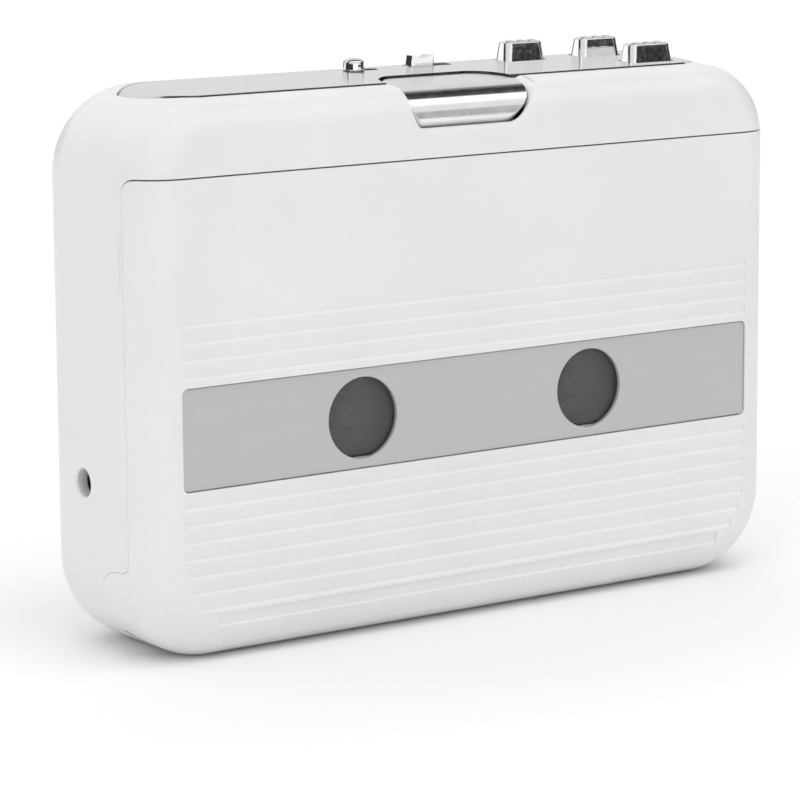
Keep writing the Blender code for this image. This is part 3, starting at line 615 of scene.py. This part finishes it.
def make_tray():
    """The trough for the two cells, closed at both ends."""
    inner, outer = CELL_RADIUS + 0.55, CELL_RADIUS + 1.45
    trough = prism(arc_band(CELL_Y, CELL_Z, inner, outer, 90, 270), "x", -LUG[1], LUG[1])
    roof = box(-LUG[1], LUG[1], CELL_Y - 0.5, BACK_SPLIT, CELL_Z + inner, BAY_ROOF)
    closed_end = arc_band(CELL_Y, CELL_Z, 0.0, outer, 90, 225)[:37]
    closed_end += [(16.0, 3.7), (25.0, 5.3), (BACK_SPLIT, 9.6), (BACK_SPLIT, BAY_ROOF)]
    ends = [prism(closed_end, "x", low, low + LUG[1] - LUG[0]) for low in (-LUG[1], LUG[0])]
    cells = rod("x", CELL_Y, CELL_Z, CELL_RADIUS + 0.3, -LUG[0], LUG[0], 96)
    tray = keep(cut(join(trough, roof, *ends), cells), body(2.35, 3.75))
    tray = cut(tray, rod("x", HINGE_Y, HINGE_Z, 6.75, -FAR, FAR, 64))
    return join(tray, hinge_ear(-LUG[1]), hinge_ear(LUG[0]))


def make_case():
    case = cut(body(), body(WALL, ROOF_WALL), box(-FAR, FAR, BACK_SPLIT, 40, -5, 90))
    case = cut(case, prism(door_side(GAP, SIDE_GAP), "x", -FAR, FAR))
    sweep = keep(rod("x", HINGE_Y, HINGE_Z, 7.85, -FAR, FAR, 96), box(-FAR - 1, FAR + 1, 0, 20, -5, 3.6))
    recess = cut(prism(plate_outline(-0.06), "z", 70, 90), lowered_body(PLATE_THICK + 0.3))
    case = cut(case, sweep, recess, button_recess(), *control_slots(0.4))
    jack_mouth = turned("x", JACK_Y, JACK_Z, [(2.4, -60.5), (2.4, -59.52), (2.1, -59.2), (2.1, -50.0)])
    phone_mouth = turned("x", PHONE_Y, PHONE_Z, [(2.9, 50.0), (2.9, 59.1), (3.3, 59.55), (3.3, 60.5)])
    window = rounded(17.2, 20.4, WHEEL_Z - 7.0, WHEEL_Z + 7.0, 1.2, steps=6)
    case = cut(case, jack_mouth, phone_mouth, prism(window, "x", 50, 70))
    y, z = LATCH_PIVOT[1:]
    ear = cut(box(-20.2, -18.2, y - 1.4, y + 1.4, z - 1.3, 79.6), rod("x", y, z, 0.9, -22, -17, 24))
    case = join(case, ear)
    case = join(case, prism(rounded(5.75, 7.15, 55.0, 63.4, 0.69, steps=8), "x", -59.56, -58.5))
    for x0, x1 in mirror_pair(43.0, 58.4):
        case = join(case, box(x0, x1, 16.6, 20.0, 67.0, 73.0), box(x0, x1, 16.6, 20.0, 29.2, 31.6))
    for x, z in BOSSES:
        rib = sorted((x, x + math.copysign(4.4, x)))
        case = join(case, box(rib[0], rib[1], 22.0, 28.0, z - 0.9, z + 0.9))
        case = join(case, rod("y", x, z, 3.0, 21.0, BACK_SPLIT - 0.2, 32))
    case = cut(case, *[rod("y", x, z, 1.2, 22.5, 30, 20) for x, z in BOSSES])
    return cut(case, *[rod("y", x, z, 1.05, 15, 19.2, 20) for x, z in CHASSIS_SCREWS])


def rear_skin():
    """The thin rear wall behind the split line."""
    behind = box(-FAR, FAR, BACK_SPLIT + 0.3, 40, -5, 90)
    return cut(keep(body(), behind), body(REAR_WALL))


def bay_door(grow):
    """The region of the rear wall that the battery cover fills, grown by this gap."""
    top = BAY_ROOF + 0.65 + grow
    return prism(rounded(-52.5 - grow, 52.5 + grow, -9.0, top, 1.2, steps=6), "y", 20, 40)


def make_back_cover():
    back = cut(rear_skin(), bay_door(0.35))
    for x, z in BOSSES:
        back = join(back, rod("y", x, z, 3.0, BACK_SPLIT + 0.1, DEPTH - 0.6, 32))
        well = turned("y", x, z, [(2.35, 29.3), (2.35, 31.2), (2.7, 31.7), (2.7, 33)], 40)
        back = cut(back, rod("y", x, z, 1.35, 20, 40, 20), well)
    return back


def make_battery_cover():
    cover = keep(rear_skin(), bay_door(0.0))
    for x in (-30.0, 0.0, 30.0):
        cover = join(cover, box(x - 3, x + 3, BACK_SPLIT + 0.4, DEPTH - 0.8, BAY_ROOF - 0.4, BAY_ROOF + 0.6))
    grips = [rounded(-8, 8, 12.0 + 1.3 * k, 12.5 + 1.3 * k, 0.24, steps=4) for k in range(5)]
    return cut(cover, *[prism(grip, "y", DEPTH - 0.4, DEPTH + 1) for grip in grips])


finish_piece("case_shell", make_case(), "case", "shell", ["cabinet"], edge=0.07)
finish_piece("cell_tray", make_tray(), "case", "inner", ["battery_tray"], edge=0.12)
finish_piece("rear_shell", make_back_cover(), "case", "shell", ["back_cover"], edge=0.14)
finish_piece("battery_door", make_battery_cover(), "battery_cover", "shell", ["battery_cover"], edge=0.14)


# ---------------------------------------------------------------- door
def front_skin(z):
    """The depth of the front surface at a height in its lower rounding."""
    return FRONT_ROUND - math.sqrt(FRONT_ROUND**2 - (FRONT_ROUND - z) ** 2)


def ridge_cutter(z):
    """One shallow step: a ledge that faces up and a long slope above it. Low ones are shorter."""
    reach = max(RIDGE_CORNER - (z - RIDGE_FOOT), 0.0)
    half = STRIP_HALF - RIDGE_CORNER + math.sqrt(RIDGE_CORNER**2 - reach**2)
    skin = front_skin(min(z, FRONT_ROUND))
    step = [
        (skin, z - 0.22), (skin + 0.24, z + 0.2), (skin - 0.02, z + 1.9), (-1.0, z + 1.9), (-1.0, z - 0.22),
    ]
    ends = prism(rounded(-half, half, z - 0.6, z + 2.6, 1.0, steps=6), "y", -2.0, 2.0)
    return keep(prism(step, "x", -half, half), ends)


def make_door():
    door = cut(keep(body(), prism(door_side(0.0), "x", -FAR, FAR)), body(WALL, ROOF_WALL))
    for side in (-1, 1):
        inner, outer = sorted((side * 54.9, side * 58.2))
        near, far = sorted((side * 53.5, side * 56.8))
        door = join(door, keep(rod("x", HINGE_Y, HINGE_Z, 2.9, inner, outer), body(0.6)))
        door = cut(door, rod("x", HINGE_Y, HINGE_Z, 1.3, near, far, 24))
    door = join(door, box(-52.5, 52.5, 1.4, 3.4, 69.3, 70.8))
    tab = prism(
        [(1.4, 67.8), (5.9, 67.8), (5.9, 70.8), (4.5, 70.8), (4.5, 68.9), (1.4, 68.9)], "x", -17.7, -14.1
    )
    door = join(door, tab)
    door = cut(door, *[ridge_cutter(z) for z in RIDGES])
    gap = 0.14
    recess = rounded(-STRIP_HALF - gap, STRIP_HALF + gap, STRIP_LOW - gap, STRIP_HIGH + gap, 0.94, steps=8)
    window = rounded(-31, 31, 27.4, 40.0, 1.5, steps=6)
    return cut(door, prism(recess, "y", -1, 1.3), prism(window, "y", 0, 3))


def make_strip():
    strip = prism(
        rounded(-STRIP_HALF, STRIP_HALF, STRIP_LOW, STRIP_HIGH, 0.8, steps=8), "y", 0.3, 1.0
    )
    return cut(strip, *[rod("y", x, HUB_Z, REEL_HOLE, -1, 3, 96) for x in (-HUB_X, HUB_X)])


def make_window():
    pane = prism(rounded(-33, 33, 26.0, 41.4, 1.0, steps=6), "y", 2.35, 3.3)
    return join(pane, prism(rounded(-30.6, 30.6, 27.8, 39.6, 1.2, steps=6), "y", 1.35, 2.6))


finish_piece("door_panel", make_door(), "door", "shell", ["door_shell"], edge=0.07)
finish_piece("trim_strip", make_strip(), "door", "silver", ["door_strip"], edge=0.10, segments=3)
finish_piece("window_pane", make_window(), "door", "smoke", ["door_lens"], edge=0.12)


# ---------------------------------------------------------------- plated parts
def key_top(y):
    """The height of the case's top surface beside a control."""
    return top_height(y, 0.0, 0.0)


def slide_roof():
    """The height of a slide control's foot, just under the roof."""
    return top_height(17.5, WALL, ROOF_WALL) - 0.35


def make_plate():
    """The plate, proud of the case along its front, with a flat chamfer around its rim."""
    low, high = plate_outline(0.06), plate_outline(0.06 + PLATE_CHAMFER)
    rim = loft([
        [(x, y, 70.0) for x, y in low],
        [(x, y, skin_height(x, y) - 0.85 * PLATE_CHAMFER) for x, y in low],
        [(x, y, skin_height(x, y)) for x, y in high],
        [(x, y, 90.0) for x, y in high],
    ])
    plate = cut(keep(body(), rim), lowered_body(PLATE_THICK))
    plate = cut(plate, slanted(button_outline(BUTTON_HOLE, 0.10), 47, 65), *control_slots(0.25))
    front, rear = PLATE[2:]
    for vertex in plate.data.vertices:
        vertex.co.z += PLATE_RISE * (rear - vertex.co.y) / (rear - front)
    return plate


def make_button():
    button = cut(keep(body(0.15), slanted(button_outline(BUTTON_FACE), 47, 65)), body(2.5, 2.5))
    return join(button, box(-10.8, -8.6, 10.2, 11.6, 72.45, 81.2))


def dome(x, y, z, radius, height, count=20):
    steps = 6
    rings = [(radius * math.cos(t), z + height * math.sin(t))
             for t in [math.radians(88 * k / steps) for k in range(steps + 1)]]
    return turned("z", x, y, [(radius, z - 0.4), *rings], count)


def make_key(name):
    x0, x1, y0, y1 = KEYS[name]
    crown = key_top(y0)
    roof = top_height(y0, WALL, ROOF_WALL)
    rings = [(crown - 2.4, -0.8 * KEY_DRAFT), (crown + 3.0, KEY_DRAFT)]
    key = loft([
        [(x, y, z) for x, y in rounded(x0 + a, x1 - a, y0 + a, y1 - a, 1.1, steps=10)]
        for z, a in rings
    ])
    key = join(key, box(x0 + 1.0, x1 - 1.0, y0 + 0.5, y1 - 0.5, KEY_STEM[name], crown - 2.0))
    return join(key, box(x0 - 0.9, x1 + 0.9, y0 - 0.3, y1 + 0.3, roof - 1.4, roof - 0.35))


def key_bumps(name):
    """Three small domes in a row on top of a key, left a hair proud of it."""
    x0, x1, y0, y1 = KEYS[name]
    crown = key_top(y0) + 2.98
    return [dome((x0 + x1) / 2 + 2.1 * k, (y0 + y1) / 2, crown, 0.85, 0.26) for k in (-1, 0, 1)]


def make_post():
    crown = key_top(POST_Y)
    roof = slide_roof()
    narrow, shoulder = POST_RADIUS - 0.1, crown + 1.35
    head = [(POST_RADIUS, crown + 0.12), (POST_RADIUS + 0.05, crown + 0.2), (narrow, shoulder)]
    head += [
        (narrow * math.cos(t), shoulder + 0.6 * math.sin(t))
        for t in [math.radians(86 * k / 8) for k in range(1, 9)]
    ]
    post = turned("z", POST_X, POST_Y, head, 48)
    post = join(post, box(POST_X - 1.0, POST_X + 1.0, POST_Y - 0.6, POST_Y + 0.6, roof - 1.0, crown + 0.5))
    return join(post, box(POST_X - 2.6, POST_X + 2.6, 17.9, 21.2, roof - 1.8, roof))


def make_switch():
    """The slide switch: sides that lean in and close in towards the rear, and a dished top."""
    x0, x1, y0, y1 = SWITCH
    crown = key_top(y0)
    roof = slide_roof()
    switch = prism(rounded(x0, x1, y0, y1, 0.4, steps=5), "z", roof - 1.0, crown + 1.7)
    for side, edge in ((-1, x0), (1, x1)):
        wedge = loft([
            [(edge - side * a, y0 - 0.1, z), (edge - side * (a + 0.45), y1 + 0.1, z),
             (edge + side, y1 + 0.1, z), (edge + side, y0 - 0.1, z)][::side]
            for z, a in ((crown - 0.6, -0.1), (crown + 3.0, 0.42))
        ])
        switch = cut(switch, wedge)
    dish = rod("y", (x0 + x1) / 2, crown + 4.1, 2.8, y0 - 1, y1 + 1, 64)
    return join(cut(switch, dish), box(x0 - 0.8, x1 + 0.8, 17.9, 22.0, roof - 1.8, roof))


finish_piece("top_trim", make_plate(), "case", "chrome", ["top_plate"], edge=0, look="satin", flat=30)
finish_piece("open_key", make_button(), "open_button", "chrome", ["open_button"], edge=0.08, look="satin")
for name in KEYS:
    finish_piece(f"{name}_cap", make_key(name), name, "chrome", [name], edge=0.30, segments=5)
    for k, bead in enumerate(key_bumps(name), 1):
        finish_piece(f"{name}_bead_{k}", bead, name, "chrome", edge=0)
finish_piece("balance_post", make_post(), "slide_post", "chrome", ["slide_post"], edge=0.12, segments=3)
finish_piece("mode_switch", make_switch(), "slide_switch", "chrome", ["slide_switch"], edge=0.12, segments=3)


# ---------------------------------------------------------------- spindles and head
def make_spindle(x):
    """The part of a reel that stands in the cassette's hub: a domed cap and three tapered fins."""
    spindle = turned(
        "y", x, HUB_Z,
        [(0.35, 4.45), (0.45, 4.05), (1.3, 4.0), (1.75, 4.12), (2.05, 4.5), (2.15, 5.2),
         (2.35, 6.2), (2.9, 7.4), (3.3, 9.6), (3.6, 12.0), (3.6, 17.0)],
        64,
    )
    for k in range(3):
        turn = math.radians(120 * k + (20 if x < 0 else -35))
        blade = [(5.3, 0.0), (5.3, 2.9), (5.7, 3.6), (6.7, 4.1), (12.4, 4.1), (12.4, 0.0)]
        fin = prism(blade, "x", -0.55, 0.55)
        fin.data.transform(Matrix.Rotation(turn, 4, "Y"))
        spindle = join(spindle, moved(fin, x=x, z=HUB_Z))
    return spindle


def pitch_radius(teeth):
    return teeth * GEAR_MODULE / 2


def gear_teeth(x, z, teeth, tooth_at, low=17.0, high=19.0):
    """A spur gear about y with the middle of one tooth at this angle, in radians."""
    pitch = pitch_radius(teeth)
    step = 2 * math.pi / teeth
    outline = []
    flank = ((-0.32, -0.55), (-0.24, -0.1), (-0.13, 0.3), (-0.08, 0.36), (0.08, 0.36), (0.13, 0.3),
             (0.24, -0.1), (0.32, -0.55))
    for k in range(teeth):
        middle = tooth_at + k * step
        for part, radius in flank:
            turn = middle + part * step
            outline.append((x + (pitch + radius) * math.cos(turn), z + (pitch + radius) * math.sin(turn)))
    return prism(outline, "y", low, high)


def idler_centre():
    """Where the idler meshes with both the capstan pinion and the take-up reel."""
    near = pitch_radius(PINION_TEETH + IDLER_TEETH)
    far = pitch_radius(IDLER_TEETH + REEL_TEETH)
    dx, dz = HUB_X - CAPSTAN_X, HUB_Z - CAPSTAN_Z
    span = math.hypot(dx, dz)
    along = (near**2 - far**2 + span**2) / (2 * span)
    aside = math.sqrt(near**2 - along**2)
    return (
        CAPSTAN_X + (dx * along - dz * aside) / span,
        CAPSTAN_Z + (dz * along + dx * aside) / span,
    )


IDLER_X, IDLER_Z = idler_centre()
TO_IDLER = math.atan2(IDLER_Z - CAPSTAN_Z, IDLER_X - CAPSTAN_X)
TO_REEL = math.atan2(HUB_Z - IDLER_Z, HUB_X - IDLER_X)
IDLER_STEP = 2 * math.pi / IDLER_TEETH
IDLER_TOOTH = TO_IDLER + math.pi + IDLER_STEP / 2
REEL_PHASE = ((TO_REEL - IDLER_TOOTH) / IDLER_STEP) % 1.0
REEL_TOOTH = TO_REEL + math.pi + (REEL_PHASE - 0.5) * 2 * math.pi / REEL_TEETH

for name, x, tooth in (("supply", -HUB_X, 0.0), ("takeup", HUB_X, REEL_TOOTH)):
    reel = join(make_spindle(x), gear_teeth(x, HUB_Z, REEL_TEETH, tooth))
    finish_piece(f"spindle_{name}", reel, f"reel_{name}", "dark", [f"reel_{name}"], edge=0.10)


def make_idler():
    """The idler gear: a bore for its pin and three lightening holes."""
    idler = gear_teeth(IDLER_X, IDLER_Z, IDLER_TEETH, IDLER_TOOTH)
    idler = cut(idler, rod("y", IDLER_X, IDLER_Z, 1.5, 10, 25, 32))
    for k in range(3):
        turn = 2 * math.pi * k / 3
        x, z = IDLER_X + 5.6 * math.cos(turn), IDLER_Z + 5.6 * math.sin(turn)
        idler = cut(idler, rod("y", x, z, 2.6, 10, 25, 32))
    return idler


finish_piece("idler_wheel", make_idler(), "idler_gear", "white_gear", ["idler_gear"], edge=0.08)


def make_head():
    """A tape head: a block with rounded corners and a dark gap line cut as a narrow slit."""
    head = prism(rounded(-6.3, 6.3, 69.1, 75.8, 2.9, 0.5, steps=12), "y", 4.9, 12.5)
    return cut(head, box(-0.12, 0.12, 4.0, 13.0, 69.0, 69.4))


def make_roller():
    profile = [(4.3, 5.5), (4.6, 5.8), (4.6, 12.1), (4.3, 12.4)]
    return cut(turned("y", CAPSTAN_X, ROLLER_Z, profile, 72), rod("y", CAPSTAN_X, ROLLER_Z, 1.1, 0, 20, 32))


finish_piece("head_can", make_head(), "carriage", "steel", ["tape_head"], edge=0.25, segments=3)
finish_piece("rubber_roller", make_roller(), "pinch_roller", "black", ["pinch_roller"], edge=0.10)


# ---------------------------------------------------------------- carried-over pieces
CARRIED_EDGE = {"chassis": 0.15, "volume_wheel": 0.08, "cell_spring": 0.0, "drive_belt": 0.1}

slot_of = {row["node"]: row["material_slot"] for row in frame["record"]["subparts"]}
for name, obj in frame["nodes"].items():
    if obj.hide_render:
        continue
    obj.data.materials.clear()
    obj.data.materials.append(finish_of(slot_of[name]))
    soften(obj, CARRIED_EDGE.get(name, 0.12) * MM, 2, CARRIED_SHARP_ANGLE)


# ---------------------------------------------------------------- stage, light and camera
def make_floor():
    floor = prism([(-4000, -4000), (4000, -4000), (4000, 4000), (-4000, 4000)], "z", -20.0, 0.0)
    floor.data.transform(Matrix.Scale(MM, 4))
    floor.name = floor.data.name = "floor"
    made, tree, shader = nodes_of("floor_paper", Roughness=0.9)
    paper = tint(tree, noise(tree, even(0.004)), (0.90, 0.90, 0.90), (0.93, 0.93, 0.93))
    tree.links.new(paper, shader.inputs["Base Color"])
    floor.data.materials.append(made)


def ramp(tree, value, stops):
    """A grey level by value; stops are (place from 0 to 1, level) pairs."""
    made = node(tree, "ShaderNodeValToRGB", {"Fac": value})
    marks = made.color_ramp.elements
    while len(marks) < len(stops):
        marks.new(1.0)
    for mark, (place_at, level) in zip(marks, stops):
        mark.position = place_at
        mark.color = (level, level, level, 1.0)
    return made.outputs["Color"]


def math_node(tree, operation, *values):
    made = node(tree, "ShaderNodeMath", dict(enumerate(values)), operation=operation)
    return made.outputs[0]


def bands(tree, value, base, spans, edge=0.006):
    """A level by value: the base, and another level in each (start, stop, level) span."""
    stops = [(0.0, base)]
    for start, stop, level in spans:
        stops += [(start - edge, base), (start, level), (stop, level), (stop + edge, base)]
    return ramp(tree, value, stops)


def bearing(degrees):
    """Where a compass bearing lies in the ramps: 0 is the front, positive bearings are on the right."""
    return degrees / 360 + 0.5


def make_world():
    """A pale studio as plated parts mirror it.

    From the front over the top to the back it is pale with one dark strip low down, then a white softbox, a
    dark gap overhead and a pale wall. At the sides, low down, dark screens stand between white ones.
    """
    world = bpy.data.worlds.new("studio")
    bpy.context.scene.world = world
    world.use_nodes = True
    tree = world.node_tree
    direction = node(tree, "ShaderNodeTexCoord").outputs["Generated"]
    parts = node(tree, "ShaderNodeSeparateXYZ", {"Vector": direction})
    to_front = math_node(tree, "MULTIPLY", parts.outputs["Y"], -1.0)
    rise = math_node(tree, "ARCTAN2", parts.outputs["Z"], to_front)
    arch = ramp(tree, math_node(tree, "DIVIDE", rise, math.pi), [
        (0.0, 0.62), (0.0355, 0.62), (0.0385, 0.02), (0.054, 0.02), (0.057, 0.62), (0.27, 0.66),
        (0.285, 0.95), (0.435, 0.95), (0.445, 0.02), (0.63, 0.02), (0.645, 0.60), (1.0, 0.60),
    ])
    around = math_node(tree, "ARCTAN2", parts.outputs["X"], to_front)
    turns = math_node(tree, "DIVIDE", around, 2 * math.pi)
    place_around = math_node(tree, "ADD", turns, 0.5)
    screens = bands(tree, place_around, 0.03, [
        (bearing(-156), bearing(-130), 0.85), (bearing(-38), bearing(14), 0.95),
    ])
    gaps = bands(tree, place_around, 0.0, [
        (bearing(18), bearing(50), 1.0), (bearing(125), bearing(165), 1.0),
    ])
    above = between(tree, parts.outputs["Z"], 0.0, 1.0, 0.20, 0.26)
    share = math_node(tree, "MAXIMUM", gaps, above)
    level = node(tree, "ShaderNodeMix", {"Factor": share, "A": screens, "B": arch}).outputs["Result"]
    background = tree.nodes["Background"]
    tree.links.new(math_node(tree, "MULTIPLY", level, 1.3), background.inputs["Strength"])
    background.inputs["Color"].default_value = (1.0, 1.0, 1.0, 1.0)


def add_sun(name, towards, level, spread):
    """A broad even light from this direction; level is how bright it makes white paper that faces it."""
    data = bpy.data.lights.new(name, "SUN")
    data.energy = level * math.pi
    data.angle = math.radians(spread)
    light = bpy.data.objects.new(name, data)
    light.rotation_euler = Vector(towards).to_track_quat("Z", "Y").to_euler()
    light.visible_glossy = False
    bpy.context.scene.collection.objects.link(light)


def make_camera():
    """The view of a longish lens from the front left, a little above the top."""
    azimuth, elevation, roll = math.radians(-35.14), math.radians(10.14), math.radians(-0.38)
    back = Vector((
        math.sin(azimuth) * math.cos(elevation), -math.cos(azimuth) * math.cos(elevation), math.sin(elevation)
    ))
    right = Vector((math.cos(azimuth), math.sin(azimuth), 0.0))
    up = back.cross(right)
    turned_right = right * math.cos(roll) + up * math.sin(roll)
    turned_up = up * math.cos(roll) - right * math.sin(roll)
    data = bpy.data.cameras.new("camera")
    data.lens = 160.2
    data.sensor_width = 36.0
    camera = bpy.data.objects.new("camera", data)
    target = Vector((-0.0146, -0.0155, 0.0355))
    turn = Matrix((turned_right, turned_up, back)).transposed().to_4x4()
    camera.matrix_world = Matrix.Translation(target + back * 0.5311) @ turn
    bpy.context.scene.collection.objects.link(camera)
    bpy.context.scene.camera = camera


make_floor()
make_world()
add_sun("overhead_light", (0.05, 0.1, 1.0), 0.44, 80)
add_sun("side_light", (-0.9, -0.18, 0.3), 0.165, 60)
make_camera()
bpy.context.scene.view_settings.view_transform = "Standard"
